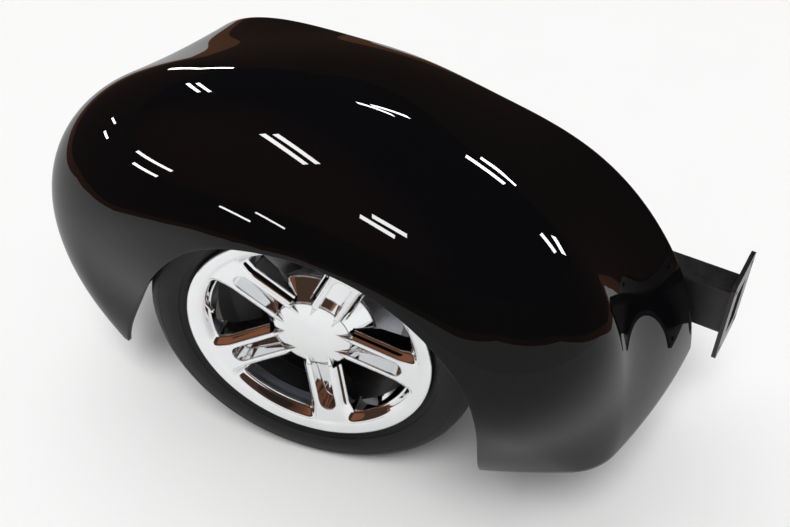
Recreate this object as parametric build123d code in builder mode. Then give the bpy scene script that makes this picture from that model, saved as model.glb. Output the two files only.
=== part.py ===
from build123d import *
from collections import namedtuple
from math import atan2, cos, degrees, pi, radians, sin
import os

os.makedirs("parts", exist_ok=True)

# Left front corner of a full-fendered street rod: the fat fender with its headlamp and inner
# apron, a stub of the chassis, and the steerable front wheel on its two wishbones.
# Built from the axle datum: X rearwards from the wheel centre, Y inboard from the outer rim
# plane, Z up from the floor. The last block moves every piece to the rail's rear flange.

# Wheel and tyre
rim_radius = 232.5
rim_width = 215
flange_rise = 14.5
bead_seat_radius = rim_radius - flange_rise
tyre_radius = 313
tyre_bulge = 4
tread_wall = 14
barrel_wall = 7
well_drop = 18
hub_height = tyre_radius
steer_angle = 15

# Steering axis, seen from the wheel: how far inboard it crosses hub height, and how it leans
kingpin_inset = 200
kingpin_lean = 0.14
kingpin_caster = 0.035
lower_joint_drop = 118
upper_joint_rise = 117

# Fender shell
shell = 4
flange_depth = 25
lip_width = 9
lip_wall = 4
foot_flange = 40
foot_gap = 1.5
board_bolt_x = 540
board_bolt_y = 290
board_bolt_span = 180
board_bolt_radius = 4.5
opening_reach = 140
opening_depth = 60
fit_gap = 0.3
fan_height = 205
shell_core = 180
apron_core = 215
apron_drop = 8
apron_wall = 3
apron_joggle = 2
apron_window = 290
apron_window_z = 400
apron_window_height = 330

# Chassis stub: rail, crossmember and the tower that carries the upper wishbone
rail_y = 472
rail_width = 60
rail_height = 110
rail_top = 370
rail_wall = 5
rail_corner = 9
rail_front = -560
rail_rear = 620
flange_plate = 8
flange_width = 130
flange_height = 180
flange_bolt_y = 96
flange_bolt_z = 140
flange_bolt_radius = 6.5
crossmember_width = 120
crossmember_height = 120
crossmember_root = 425
crossmember_inner = 640
end_plate = 6
end_bolt_x = 80
end_bolt_z = 80
end_bolt_radius = 5.5
bracket_width = 56
bracket_height = 60
bracket_wall = 4
bracket_z = 318

# Suspension
arm_thickness = 22
arm_offset = 31
lower_leg = 26
upper_leg = 20
lower_pivot_z = 164
upper_pivot_z = 461
housing_height = 26
stud_gap = 0.4
stud_root = 5
bush_gap = 1
housing_radius = 20
stud_radius = 9
boss_radius = 21
boss_half = 13
joint_gap = 5
eye_wall = 7
bush_radius = 18
pivot_bolt_radius = 7
bolt_head_radius = 12
bolt_head_height = 8
lower_pivot_y = 400
lower_spread = 40
lower_bush = 30
upper_pivot_y = 425
upper_spread = 100
upper_bush = 34
ear_wall = 6
tower_wall = 5
tower_half = 70
tower_face = 446
tower_top = 545
damper_foot_y = 315
damper_foot_z = 205
damper_seat_width = 70
perch_low = 70
perch_drop = 40
perch_radius = 38
perch_wall = 5
damper_head_y = 345
damper_head_z = 520
damper_radius = 20
damper_neck = 9
damper_shoulder = 20
damper_rod_radius = 7
damper_eye_radius = 14
damper_eye_length = 26
spring_radius = 32
spring_wire = 5
spring_turns = 6

# Knuckle and brake, seen from the wheel
spindle_tip = 101
knuckle_wall = 14
knuckle_flange = 44
upright_half = 15
steering_arm_root = 192
steering_arm_y = 246
steering_arm_wall = 14
steering_arm_width = 26
steering_arm_x = 153
steering_arm_drop = 78
steering_eye_radius = 17
steering_eye_height = 24
tie_rod_radius = 8
caliper_angle = 220
caliper_start = -76
caliper_sweep = 52
caliper_low = 98
caliper_high = 172
caliper_outboard = 14
pad_gap = 5
bridge_gap = 6
ear_width = 26
ear_overlap = 14
knuckle_ear_wall = 12

# Flats shared by the wheel's pieces, counted inboard from the outer rim plane
bead_start = 13
split_y = 40
dish = 32
ring_width = 26.5
window_radius = rim_radius - ring_width
bevel_width = 11
bevel_end = 27
ring_depth = 6
cap_radius = 73.7
fin_spread = 21.5
fin_width = 9
fin_rise = 8
fin_slope = 0.138
fin_flare = 7
flare_run = 40
window_corner = 13
spoke_heel = 52
spoke_back = 62
pocket_floor = 46
pocket_setback = 30
tip_radius = 44
lug_circle = 57.15
lug_count = 5
pad_y = 105
pad_thickness = 17
hat_thickness = 7
disc_outer_y = 118
disc_inner_y = 140
disc_radius = 148
hub_flange = 11
hub_end = 165
spindle_radius = 19
running_gap = 0.05
knuckle_y = 172
hub_radius = 68
hat_radius = 76
pilot_radius = 34
neck_radius = 36
stud_tip = 64
lug_stud_radius = 6
lug_turn = 44
nut_radius = 10.5
nut_height = 24
well_radius = 68
cone_radius = 113
spoke_count = 5
spoke_turn = 8
cap_depth = 4
cap_dome = 6
valve_turn = 187
valve_radius = 4
valve_length = 30
valve_inner = 30
valve_lean = 30
valve_bury = 7

# Headlamp in the fender's nose
lamp_angle = 74
lamp_radius = 88
lamp_rim = 8
lamp_depth = 105

# Frames of the steered wheel: sections through its axis, and flats across it
wheel_place = Location((0, 0, hub_height), (0, 0, steer_angle))
wheel_section = Plane(wheel_place * Plane.YZ.location)
spoke_section = Plane(wheel_place * Plane.XY.location)
inboard = (-sin(radians(steer_angle)), cos(radians(steer_angle)), 0)
rearward = (cos(radians(steer_angle)), sin(radians(steer_angle)), 0)
wheel_axis = Axis((0, 0, hub_height), inboard)


def across(depth):
    """Plane square to the wheel's axis at a depth: x rearward, y down, out of it inboard."""
    origin = tuple(component * depth for component in inboard)
    return Plane(
        origin=(origin[0], origin[1], hub_height), x_dir=rearward, z_dir=inboard
    )


def in_wheel(x, y, z):
    """Row point of a place given from the wheel: rearward, inboard and up from its centre."""
    place = wheel_place * Location((x, y, z))
    return tuple(place.position)


def on_kingpin(height):
    """Point of the steering axis at a height above the hub."""
    return in_wheel(kingpin_caster * height, kingpin_inset + kingpin_lean * height, height)


lower_joint = on_kingpin(-lower_joint_drop)
upper_joint = on_kingpin(upper_joint_rise)
kingpin_axis = Axis(lower_joint, tuple(Vector(*upper_joint) - Vector(*lower_joint)))
axle_x = on_kingpin(0)[0]


def kingpin_plane(height):
    """Plane square to the steering axis at a height above the hub."""
    return Plane(origin=on_kingpin(height), x_dir=(1, 0, 0), z_dir=kingpin_axis.direction)


def around(turn, radius, depth):
    """Row point of a place given by its turn from rearward towards down, radius and depth."""
    return in_wheel(radius * cos(radians(turn)), depth, -radius * sin(radians(turn)))


# The valve leaves the bead seat for the ring's bevel, leaning in towards the wheel's centre
valve_seat = Vector(*around(valve_turn, bead_seat_radius - valve_bury, valve_inner))
valve_tip = Vector(*around(
    valve_turn,
    bead_seat_radius - valve_bury - valve_length * cos(radians(valve_lean)),
    valve_inner - valve_length * sin(radians(valve_lean)),
))
valve_plane = Plane(origin=valve_seat, z_dir=valve_tip - valve_seat)
pieces = {}

# Fender sections, in planes that fan about a line across the car at fan_height. Each is an
# outer wall arc from foot to shoulder, a shoulder arc to crown and a top arc to seam, given
# as distance inboard and radius from the fan line. lean is the wall's direction at the
# shoulder, in degrees inboard of straight out. Angles run from the running board (-90),
# over the top (0), to the tip under the headlamp (98).
Fan = namedtuple("Fan", "angle foot shoulder lean crown seam")
fans = [
    Fan(-90, (-24, 306), (75, 490), 33, (150, 541), (467, 569)),
    Fan(-75, (-84, 305), (-14, 450), 28, (150, 556), (455, 556)),
    Fan(-60, (-102, 300), (-88, 440), 10, (145, 585), (428, 550)),
    Fan(-40, (-97, 290), (-101, 410), 0, (140, 594), (395, 541)),
    Fan(-20, (-98, 260), (-103, 375), 0, (140, 572), (395, 497)),
    Fan(0, (-98, 250), (-103, 360), 0, (140, 575), (395, 496)),
    Fan(20, (-96, 270), (-101, 385), 0, (140, 594), (395, 530)),
    Fan(40, (-93, 290), (-99, 430), 0, (138, 634), (410, 608)),
    Fan(60, (-79, 300), (-85, 480), 0, (132, 680), (450, 662)),
    Fan(78, (-62, 310), (-66, 475), 0, (128, 668), (455, 655)),
    Fan(90, (-58, 310), (-59, 440), 3, (112, 630), (455, 640)),
    Fan(98, (-60, 330), (-52, 430), 10, (21, 509), (440, 605)),
]


def chord_angle(start, end):
    """Direction from start to end, in degrees inboard of straight out."""
    return degrees(atan2(end[0] - start[0], end[1] - start[1]))


def inset(point, lean, depth):
    """Point moved square to a direction, into the shell."""
    return (
        point[0] + depth * cos(radians(lean)),
        point[1] - depth * sin(radians(lean)),
    )


def fan_points(fan, depth):
    """Foot, shoulder, crown and seam of a section, moved into the shell by a depth."""
    foot_lean = 2 * chord_angle(fan.foot, fan.shoulder) - fan.lean
    crown_lean = 2 * chord_angle(fan.shoulder, fan.crown) - fan.lean
    seam_lean = 2 * chord_angle(fan.crown, fan.seam) - crown_lean
    return (
        inset(fan.foot, foot_lean, depth),
        inset(fan.shoulder, fan.lean, depth),
        inset(fan.crown, crown_lean, depth),
        inset(fan.seam, seam_lean, depth),
        crown_lean,
    )


def fan_plane(angle):
    """Plane of a section: x inboard, y out from the fan line."""
    turn = radians(angle)
    return Plane(
        origin=(0, 0, fan_height), x_dir=(0, 1, 0), z_dir=(cos(turn), 0, sin(turn))
    )


def heading(lean):
    """Unit direction of a lean angle in a section."""
    return (sin(radians(lean)), cos(radians(lean)))


def fan_section(fan, depth, tail):
    """Wire points and arcs of one section: the skin's three arcs, closed by a tail."""
    foot, shoulder, crown, seam, crown_lean = fan_points(fan, depth)
    TangentArc(shoulder, foot, tangent=tuple(-part for part in heading(fan.lean)))
    TangentArc(shoulder, crown, tangent=heading(fan.lean))
    TangentArc(crown, seam, tangent=heading(crown_lean))
    Polyline(seam, *tail(foot, seam), foot)


def outer_tail(foot, seam):
    """The solid behind the outer skin ends on a straight core."""
    return [(seam[0], shell_core), (foot[0], shell_core)]


def inner_tail(foot, seam):
    """The hollow leaves the seam's hanging flange and runs out past the foot."""
    past = seam[0] + 40
    ledge = seam[1] - flange_depth
    return [
        (seam[0] - shell, ledge),
        (past, ledge),
        (past, shell_core - 20),
        (foot[0], shell_core - 20),
    ]


opening = [(352, 150), (369, 350), (345, 505), (255, 598), (80, 634), (-80, 588)]
opening += [(-200, 496), (-320, 340), (-417, 160), (-450, 60)]
opening_middle = (-30, 200)


def opening_wire(grow):
    """Side view of the wheel opening, moved outwards by a margin."""
    spread = []
    for x, z in opening:
        run, rise = x - opening_middle[0], z - opening_middle[1]
        away = (run ** 2 + rise ** 2) ** 0.5
        spread.append((x + grow * run / away, z + grow * rise / away))
    Spline(*spread)
    Line(spread[-1], spread[0])


# The headlamp looks out of the crown of the nose
lamp_y, lamp_reach = fans[-3].crown
lamp_out = (-sin(radians(lamp_angle)), 0, cos(radians(lamp_angle)))
lamp_plane = Plane(
    origin=(lamp_reach * lamp_out[0], lamp_y, fan_height + lamp_reach * lamp_out[2]),
    x_dir=(0, 1, 0),
    z_dir=lamp_out,
)

lamp_axis = Axis(lamp_plane.origin, lamp_plane.z_dir)
lamp_section = Plane(origin=lamp_plane.origin, x_dir=lamp_plane.z_dir, z_dir=(0, 1, 0))

# Fender: one shell with a flange hanging at the hood seam, a rolled wheel-opening lip, a
# foot flange on the running board and the headlamp's hole
with BuildPart() as hollow:
    for fan in fans:
        with BuildSketch(fan_plane(fan.angle)):
            with BuildLine():
                fan_section(fan, shell, inner_tail)
            make_face()
    loft()

with BuildPart() as lip_core:
    for fan in fans:
        with BuildSketch(fan_plane(fan.angle)):
            with BuildLine():
                fan_section(fan, lip_width, inner_tail)
            make_face()
    loft()

with BuildPart() as solid_form:
    for fan in fans:
        with BuildSketch(fan_plane(fan.angle)):
            with BuildLine():
                fan_section(fan, 0, outer_tail)
            make_face()
    loft()

with BuildPart() as opening_cut:
    with BuildSketch(Plane.XZ):
        with BuildLine():
            opening_wire(0)
        make_face()
    extrude(amount=opening_reach)
    extrude(opening_cut.faces().sort_by(Axis.Y)[-1], amount=opening_depth)

with BuildPart() as lip_band:
    with BuildSketch(Plane.XZ):
        with BuildLine():
            opening_wire(lip_wall)
        make_face()
    extrude(amount=opening_reach)
    add(opening_cut.part, mode=Mode.SUBTRACT)
    add(solid_form.part, mode=Mode.INTERSECT)
    add(lip_core.part, mode=Mode.SUBTRACT)

# Foot flange, turned in under the tail where it stands on the running board
with BuildPart() as foot:
    with BuildSketch(fan_plane(fans[0].angle)):
        with BuildLine():
            fan_section(fans[0], shell / 2, outer_tail)
        make_face()
        with BuildLine():
            fan_section(fans[0], foot_flange, inner_tail)
        make_face(mode=Mode.SUBTRACT)
    extrude(amount=-shell)
    add(opening_cut.part, mode=Mode.SUBTRACT)
    with Locations((fans[0].seam[1], fans[0].seam[0], fan_height)):
        Box(4 * foot_flange, 2 * (shell + apron_wall + foot_gap), 3 * shell, mode=Mode.SUBTRACT)
    with BuildSketch(Plane.XY.offset(fan_height)):
        with Locations((board_bolt_x, board_bolt_y)):
            with GridLocations(0, board_bolt_span, 1, 2):
                Circle(board_bolt_radius)
    extrude(amount=shell, mode=Mode.SUBTRACT)

with BuildPart() as fender:
    add(solid_form.part)
    add(hollow.part, mode=Mode.SUBTRACT)
    add(opening_cut.part, mode=Mode.SUBTRACT)
    add(lip_band.part)
    add(foot.part)
    with BuildSketch(lamp_plane):
        Circle(lamp_radius + lamp_rim + fit_gap)
    extrude(amount=lamp_depth, both=True, mode=Mode.SUBTRACT)
pieces["fender"] = fender

# Inner apron: the splash wall under the seam, joggled behind the fender's hanging flange
with BuildPart() as inner_apron:
    for fan in fans:
        low = apron_core
        high = fan.seam[1] - apron_drop
        thick = apron_wall + apron_joggle
        with BuildSketch(fan_plane(fan.angle)):
            with Locations((fan.seam[0] - shell + apron_joggle - thick / 2, (low + high) / 2)):
                Rectangle(thick, high - low)
    loft()
    add(hollow.part, mode=Mode.INTERSECT)
    with Locations((axle_x, crossmember_root, apron_window_z)):
        Box(apron_window, 160, apron_window_height, mode=Mode.SUBTRACT)
pieces["inner_apron"] = inner_apron

# Chassis rail: a rectangular tube with a splice flange at its rear end
rail_middle = (rail_y + rail_width / 2, rail_top - rail_height / 2)
with BuildPart() as frame_rail:
    with BuildSketch(Plane.YZ.offset(rail_front)):
        with Locations(rail_middle):
            RectangleRounded(rail_width, rail_height, rail_corner)
            RectangleRounded(
                rail_width - 2 * rail_wall, rail_height - 2 * rail_wall, rail_corner - rail_wall,
                mode=Mode.SUBTRACT,
            )
    extrude(amount=rail_rear - rail_front)
    with BuildSketch(Plane.YZ.offset(rail_rear - flange_plate)):
        with Locations(rail_middle):
            RectangleRounded(flange_width, flange_height, 12)
            RectangleRounded(
                rail_width - 2 * rail_wall, rail_height - 2 * rail_wall, rail_corner - rail_wall,
                mode=Mode.SUBTRACT,
            )
            with GridLocations(flange_bolt_y, flange_bolt_z, 2, 2):
                Circle(flange_bolt_radius, mode=Mode.SUBTRACT)
    extrude(amount=flange_plate)
pieces["frame_rail"] = frame_rail

# Stand-off brackets: pressed channels between the rail and the apron
for label, x in (("apron_bracket_front", -400), ("apron_bracket_rear", 400)):
    with BuildPart() as bracket:
        with BuildSketch(Plane.XZ.offset(-rail_y)):
            with Locations((x, bracket_z)):
                Rectangle(bracket_width, bracket_height)
            with Locations((x, bracket_z - bracket_wall)):
                Rectangle(bracket_width - 2 * bracket_wall, bracket_height, mode=Mode.SUBTRACT)
        extrude(amount=2 * bracket_width)
        add(inner_apron.part, mode=Mode.SUBTRACT)
        inboard_half = bracket.solids().sort_by(Axis.Y)[-1]
        add(inboard_half, mode=Mode.REPLACE)
    pieces[label] = bracket

# Crossmember: a boxed beam under the rail with an end flange for its other half, and the
# ears that carry the lower wishbone
beam_middle = (axle_x, rail_top - rail_height - crossmember_height / 2)
with BuildPart() as crossmember:
    with BuildSketch(Plane.XZ.offset(-crossmember_inner)):
        with Locations(beam_middle):
            RectangleRounded(crossmember_width, crossmember_height, 10)
            RectangleRounded(
                crossmember_width - 2 * rail_wall, crossmember_height - 2 * rail_wall, 5,
                mode=Mode.SUBTRACT,
            )
    extrude(amount=crossmember_inner - crossmember_root)
    with BuildSketch(Plane.XZ.offset(-crossmember_root - end_plate)):
        with Locations(beam_middle):
            RectangleRounded(crossmember_width, crossmember_height, 10)
    extrude(amount=end_plate)
    with BuildSketch(Plane.XZ.offset(-crossmember_inner)):
        with Locations(beam_middle):
            RectangleRounded(crossmember_width, crossmember_height, 10)
            with GridLocations(end_bolt_x, end_bolt_z, 2, 2):
                Circle(end_bolt_radius, mode=Mode.SUBTRACT)
    extrude(amount=end_plate)
    for side in (-1, 1):
        for edge in (-1, 1):
            middle = axle_x + side * lower_spread + edge * (lower_bush + ear_wall + 2 * bush_gap) / 2
            with BuildSketch(Plane.YZ.offset(middle - ear_wall / 2)):
                with BuildLine():
                    Polyline(
                        (crossmember_root, lower_pivot_z + bush_radius + 30),
                        (lower_pivot_y, lower_pivot_z + bush_radius),
                        (lower_pivot_y, lower_pivot_z - bush_radius),
                        (crossmember_root, lower_pivot_z - bush_radius),
                        close=True,
                    )
                make_face()
                with Locations((lower_pivot_y, lower_pivot_z)):
                    Circle(bush_radius)
                    Circle(pivot_bolt_radius, mode=Mode.SUBTRACT)
            extrude(amount=ear_wall)
pieces["crossmember"] = crossmember

# Tower: a pressed bracket on the rail that holds the upper pivot shaft and the damper's head
with BuildPart() as shock_tower:
    for side in (-1, 1):
        with BuildSketch(Plane.YZ.offset(axle_x + side * tower_half - tower_wall / 2)):
            with BuildLine():
                Polyline(
                    (tower_face, rail_top - rail_height),
                    (rail_y, rail_top - rail_height),
                    (rail_y, rail_top),
                    (rail_y + rail_width, rail_top),
                    (tower_face + 24, tower_top),
                    (tower_face, tower_top),
                    close=True,
                )
            make_face()
        extrude(amount=tower_wall)
    with BuildSketch(Plane.XZ.offset(-tower_face - tower_wall)):
        with Locations((axle_x, (rail_top - rail_height + tower_top) / 2)):
            Rectangle(2 * tower_half + tower_wall, tower_top - rail_top + rail_height)
    extrude(amount=tower_wall)
    for side in (-1, 1):
        middle = axle_x + side * (damper_eye_length + ear_wall + 2 * bush_gap) / 2
        with BuildSketch(Plane.YZ.offset(middle - ear_wall / 2)):
            with BuildLine():
                Polyline(
                    (tower_face, tower_top),
                    (damper_head_y, damper_head_z + damper_eye_radius),
                    (damper_head_y, damper_head_z - damper_eye_radius),
                    (tower_face, upper_pivot_z + bush_radius + 6),
                    close=True,
                )
            make_face()
            with Locations((damper_head_y, damper_head_z)):
                Circle(damper_eye_radius)
                Circle(pivot_bolt_radius, mode=Mode.SUBTRACT)
        extrude(amount=ear_wall)
pieces["shock_tower"] = shock_tower

# Upper pivot shaft: a round bar bolted across the tower's face
with BuildPart() as upper_shaft:
    with BuildSketch(Plane.YZ.offset(axle_x - upper_spread - upper_bush / 2 - 8)):
        with Locations((upper_pivot_y, upper_pivot_z)):
            Circle(pivot_bolt_radius)
    extrude(amount=2 * upper_spread + upper_bush + 16)
    with Locations((axle_x, (upper_pivot_y + tower_face) / 2, upper_pivot_z)):
        Box(70, tower_face - upper_pivot_y, 2 * pivot_bolt_radius + 4)
pieces["upper_shaft"] = upper_shaft

# Wishbones: a ball-joint eye, two legs spreading to bushed eyes
arms = (
    ("lower_arm", -lower_joint_drop - arm_offset, lower_pivot_y, lower_pivot_z, lower_spread,
     lower_bush, lower_leg),
    ("upper_arm", upper_joint_rise + arm_offset, upper_pivot_y, upper_pivot_z, upper_spread,
     upper_bush, upper_leg),
)
for label, height, pivot_y, pivot_z, spread, bush, leg in arms:
    eye = on_kingpin(height)
    with BuildPart() as arm:
        with BuildSketch(Plane.XY.offset(pivot_z - arm_thickness / 2)):
            with Locations((eye[0], eye[1])):
                Circle(housing_radius + eye_wall)
            for side in (-1, 1):
                foot = (axle_x + side * spread, pivot_y - bush_radius)
                with BuildLine():
                    run = Vector(foot[0] - eye[0], foot[1] - eye[1]).normalized()
                    cross = Vector(-run.Y, run.X) * leg / 2
                    Polyline(
                        (eye[0] + cross.X, eye[1] + cross.Y),
                        (foot[0] + cross.X, foot[1] + cross.Y + 6),
                        (foot[0] - cross.X, foot[1] - cross.Y + 6),
                        (eye[0] - cross.X, eye[1] - cross.Y),
                        close=True,
                    )
                make_face()
        extrude(amount=arm_thickness)
        for side in (-1, 1):
            with BuildSketch(Plane.YZ.offset(axle_x + side * spread - bush / 2)):
                with Locations((pivot_y, pivot_z)):
                    Circle(bush_radius)
            extrude(amount=bush)
            with BuildSketch(Plane.YZ.offset(axle_x + side * spread - bush / 2)):
                with Locations((pivot_y, pivot_z)):
                    Circle(pivot_bolt_radius + fit_gap)
            extrude(amount=bush, mode=Mode.SUBTRACT)
        with BuildSketch(kingpin_plane(height)):
            Circle(housing_radius)
        extrude(amount=2 * arm_thickness, both=True, mode=Mode.SUBTRACT)
        if label == "lower_arm":
            with Locations((axle_x, damper_foot_y, pivot_z)):
                Box(damper_seat_width, 34, arm_thickness)
            for side in (-1, 1):
                middle = axle_x + side * (damper_eye_length + ear_wall + 2 * bush_gap) / 2
                with BuildSketch(Plane.YZ.offset(middle - ear_wall / 2)):
                    with Locations((damper_foot_y, (pivot_z + damper_foot_z) / 2)):
                        Rectangle(2 * damper_eye_radius, damper_foot_z - pivot_z)
                    with Locations((damper_foot_y, damper_foot_z)):
                        Circle(damper_eye_radius)
                        Circle(pivot_bolt_radius, mode=Mode.SUBTRACT)
                extrude(amount=ear_wall)
    pieces[label] = arm

# Ball joints: a housing pressed in the wishbone's eye and a stud along the steering axis
for label, height, side in (("lower_ball_joint", -lower_joint_drop, -1), ("upper_ball_joint", upper_joint_rise, 1)):
    with BuildPart() as ball_joint:
        with BuildSketch(kingpin_plane(height + side * (boss_half + joint_gap))):
            Circle(housing_radius)
        extrude(amount=side * housing_height)
        with BuildSketch(kingpin_plane(height - side * boss_half)):
            Circle(stud_radius)
        extrude(amount=side * (2 * boss_half + joint_gap + stud_root))
    pieces[label] = ball_joint

# Coil-over damper, leaning inboard from the lower wishbone to the tower
damper_run = Vector(0, damper_head_y - damper_foot_y, damper_head_z - damper_foot_z)
damper_length = damper_run.length
damper_foot = (axle_x, damper_foot_y, damper_foot_z)
damper_plane = Plane(origin=damper_foot, x_dir=(1, 0, 0), z_dir=tuple(damper_run.normalized()))
with BuildPart() as damper_body:
    with BuildSketch(Plane.YZ.offset(axle_x - damper_eye_length / 2)):
        with Locations((damper_foot_y, damper_foot_z)):
            Circle(damper_eye_radius)
    extrude(amount=damper_eye_length)
    with BuildSketch(damper_plane):
        Circle(damper_neck)
    extrude(amount=damper_shoulder)
    with BuildSketch(damper_plane.offset(damper_shoulder)):
        Circle(damper_radius)
    extrude(amount=damper_length * 0.52)
    with BuildSketch(damper_plane.offset(perch_low)):
        Circle(perch_radius)
    extrude(amount=perch_wall)
    with BuildSketch(damper_plane.offset(damper_length * 0.3)):
        Circle(damper_rod_radius + fit_gap)
    extrude(amount=damper_length, mode=Mode.SUBTRACT)
    with BuildSketch(Plane.YZ.offset(axle_x - damper_eye_length / 2)):
        with Locations((damper_foot_y, damper_foot_z)):
            Circle(pivot_bolt_radius)
    extrude(amount=damper_eye_length, mode=Mode.SUBTRACT)
pieces["damper_body"] = damper_body

with BuildPart() as damper_rod:
    with BuildSketch(Plane.YZ.offset(axle_x - damper_eye_length / 2)):
        with Locations((damper_head_y, damper_head_z)):
            Circle(damper_eye_radius)
    extrude(amount=damper_eye_length)
    with BuildSketch(damper_plane.offset(damper_length * 0.3)):
        Circle(damper_rod_radius)
    extrude(amount=damper_length * 0.7 - damper_eye_radius + 4)
    with BuildSketch(damper_plane.offset(damper_length - perch_drop)):
        Circle(perch_radius)
    extrude(amount=-perch_wall)
    with BuildSketch(Plane.YZ.offset(axle_x - damper_eye_length / 2)):
        with Locations((damper_head_y, damper_head_z)):
            Circle(pivot_bolt_radius)
    extrude(amount=damper_eye_length, mode=Mode.SUBTRACT)
pieces["damper_rod"] = damper_rod

spring_low = perch_low + perch_wall + spring_wire
spring_high = damper_length - perch_drop - perch_wall - spring_wire
with BuildPart() as coil_spring:
    with BuildLine() as coil:
        Helix(
            pitch=(spring_high - spring_low) / spring_turns,
            height=spring_high - spring_low,
            radius=spring_radius,
        )
    with BuildSketch(coil.line ^ 0):
        Circle(spring_wire)
    sweep(is_frenet=True)
coil_spring.part.move(damper_plane.offset(spring_low).location)
pieces["coil_spring"] = coil_spring

# Bolts through the wishbone's and the damper's bushes, each with a head and a nut
bolt_runs = (
    (axle_x - lower_spread, lower_pivot_y, lower_pivot_z, lower_bush),
    (axle_x + lower_spread, lower_pivot_y, lower_pivot_z, lower_bush),
    (axle_x, damper_foot_y, damper_foot_z, damper_eye_length),
    (axle_x, damper_head_y, damper_head_z, damper_eye_length),
)
with BuildPart() as pivot_bolts:
    for x, y, z, bush in bolt_runs:
        grip = bush / 2 + bush_gap + ear_wall
        with BuildSketch(Plane.YZ.offset(x - grip - bolt_head_height)):
            with Locations((y, z)):
                Circle(pivot_bolt_radius)
        extrude(amount=2 * (grip + bolt_head_height))
        for start in (x - grip - bolt_head_height, x + grip):
            with BuildSketch(Plane.YZ.offset(start)):
                with Locations((y, z)):
                    RegularPolygon(bolt_head_radius, 6)
            extrude(amount=bolt_head_height)
pieces["pivot_bolts"] = pivot_bolts

steering_eye_plane = Plane(
    origin=in_wheel(steering_arm_x, steering_arm_y, -steering_arm_drop),
    x_dir=rearward,
    z_dir=(0, 0, 1),
)

# Knuckle: the upright with its spindle, the two ball-joint bosses, the steering arm and the
# caliper's ears
with BuildPart() as knuckle:
    with BuildSketch(across(spindle_tip)):
        Circle(spindle_radius - running_gap)
    extrude(amount=knuckle_y + knuckle_wall - spindle_tip)
    with BuildSketch(across(knuckle_y)):
        Circle(knuckle_flange)
    extrude(amount=knuckle_wall)
    with BuildSketch(wheel_section):
        with BuildLine():
            low = kingpin_inset - kingpin_lean * lower_joint_drop
            high = kingpin_inset + kingpin_lean * upper_joint_rise
            Polyline(
                (low - 12, -lower_joint_drop), (low + 14, -lower_joint_drop),
                (knuckle_y + 34, -30), (knuckle_y + 34, 40),
                (high + 12, upper_joint_rise), (high - 14, upper_joint_rise),
                (knuckle_y, 40), (knuckle_y, -40),
                close=True,
            )
        make_face()
    extrude(amount=upright_half, both=True)
    for height in (-lower_joint_drop, upper_joint_rise):
        with BuildSketch(kingpin_plane(height - boss_half)):
            Circle(boss_radius)
        extrude(amount=2 * boss_half)
    with BuildSketch(spoke_section.offset(-steering_arm_drop - steering_arm_wall / 2)):
        with BuildLine():
            Polyline(
                (-upright_half, steering_arm_root - steering_arm_width / 2),
                (steering_arm_x, steering_arm_y - steering_eye_radius),
                (steering_arm_x, steering_arm_y + steering_eye_radius),
                (-upright_half, steering_arm_root + steering_arm_width / 2),
                close=True,
            )
        make_face()
    extrude(amount=steering_arm_wall)
    with BuildSketch(steering_eye_plane.offset(-steering_eye_height / 2)):
        Circle(steering_eye_radius)
    extrude(amount=steering_eye_height)
    with BuildSketch(steering_eye_plane.offset(-steering_eye_height / 2)):
        Circle(tie_rod_radius)
    extrude(amount=steering_eye_height, mode=Mode.SUBTRACT)
    for height in (-lower_joint_drop, upper_joint_rise):
        with BuildSketch(kingpin_plane(height - boss_half - 1)):
            Circle(stud_radius + stud_gap)
        extrude(amount=2 * boss_half + 2, mode=Mode.SUBTRACT)
    for turn in (caliper_angle - 14, caliper_angle + 14):
        with BuildSketch(across(knuckle_y)):
            with Locations(
                Location((0, 0), turn) * Location(((caliper_low + knuckle_flange) / 2, 0))
            ):
                Rectangle(caliper_low + ear_overlap - knuckle_flange + 24, ear_width)
        extrude(amount=knuckle_ear_wall)
pieces["knuckle"] = knuckle

# Brake: a caliper astride the disc, and the disc on its hat
caliper_section = Plane(wheel_place * Location((0, 0, 0), (0, caliper_start, 0)) * Plane.YZ.location)
with BuildPart() as caliper:
    with BuildSketch(caliper_section):
        with BuildLine():
            Polyline(
                (disc_outer_y - pad_gap - caliper_outboard, caliper_low),
                (disc_outer_y - pad_gap, caliper_low),
                (disc_outer_y - pad_gap, disc_radius + bridge_gap),
                (disc_inner_y + pad_gap, disc_radius + bridge_gap),
                (disc_inner_y + pad_gap, caliper_low),
                (knuckle_y, caliper_low),
                (knuckle_y, caliper_high - 8),
                (knuckle_y - 8, caliper_high),
                (disc_outer_y - pad_gap - caliper_outboard + 8, caliper_high),
                (disc_outer_y - pad_gap - caliper_outboard, caliper_high - 8),
                close=True,
            )
        make_face()
    revolve(axis=wheel_axis, revolution_arc=caliper_sweep)
pieces["caliper"] = caliper

with BuildPart() as hub:
    with BuildSketch(wheel_section):
        with BuildLine():
            Polyline(
                (pad_y - 6, spindle_radius), (pad_y - 6, pilot_radius),
                (pad_y + hat_thickness, pilot_radius),
                (pad_y + hat_thickness, hub_radius),
                (pad_y + hat_thickness + hub_flange, hub_radius),
                (pad_y + hat_thickness + hub_flange, neck_radius + 6),
                (pad_y + hat_thickness + hub_flange + 8, neck_radius),
                (hub_end, neck_radius), (hub_end, spindle_radius),
                close=True,
            )
        make_face()
    revolve(axis=wheel_axis)
    with BuildSketch(across(stud_tip)):
        with PolarLocations(lug_circle, lug_count, lug_turn):
            Circle(lug_stud_radius)
    extrude(amount=pad_y + hat_thickness + hub_flange - stud_tip)
pieces["hub"] = hub

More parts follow.
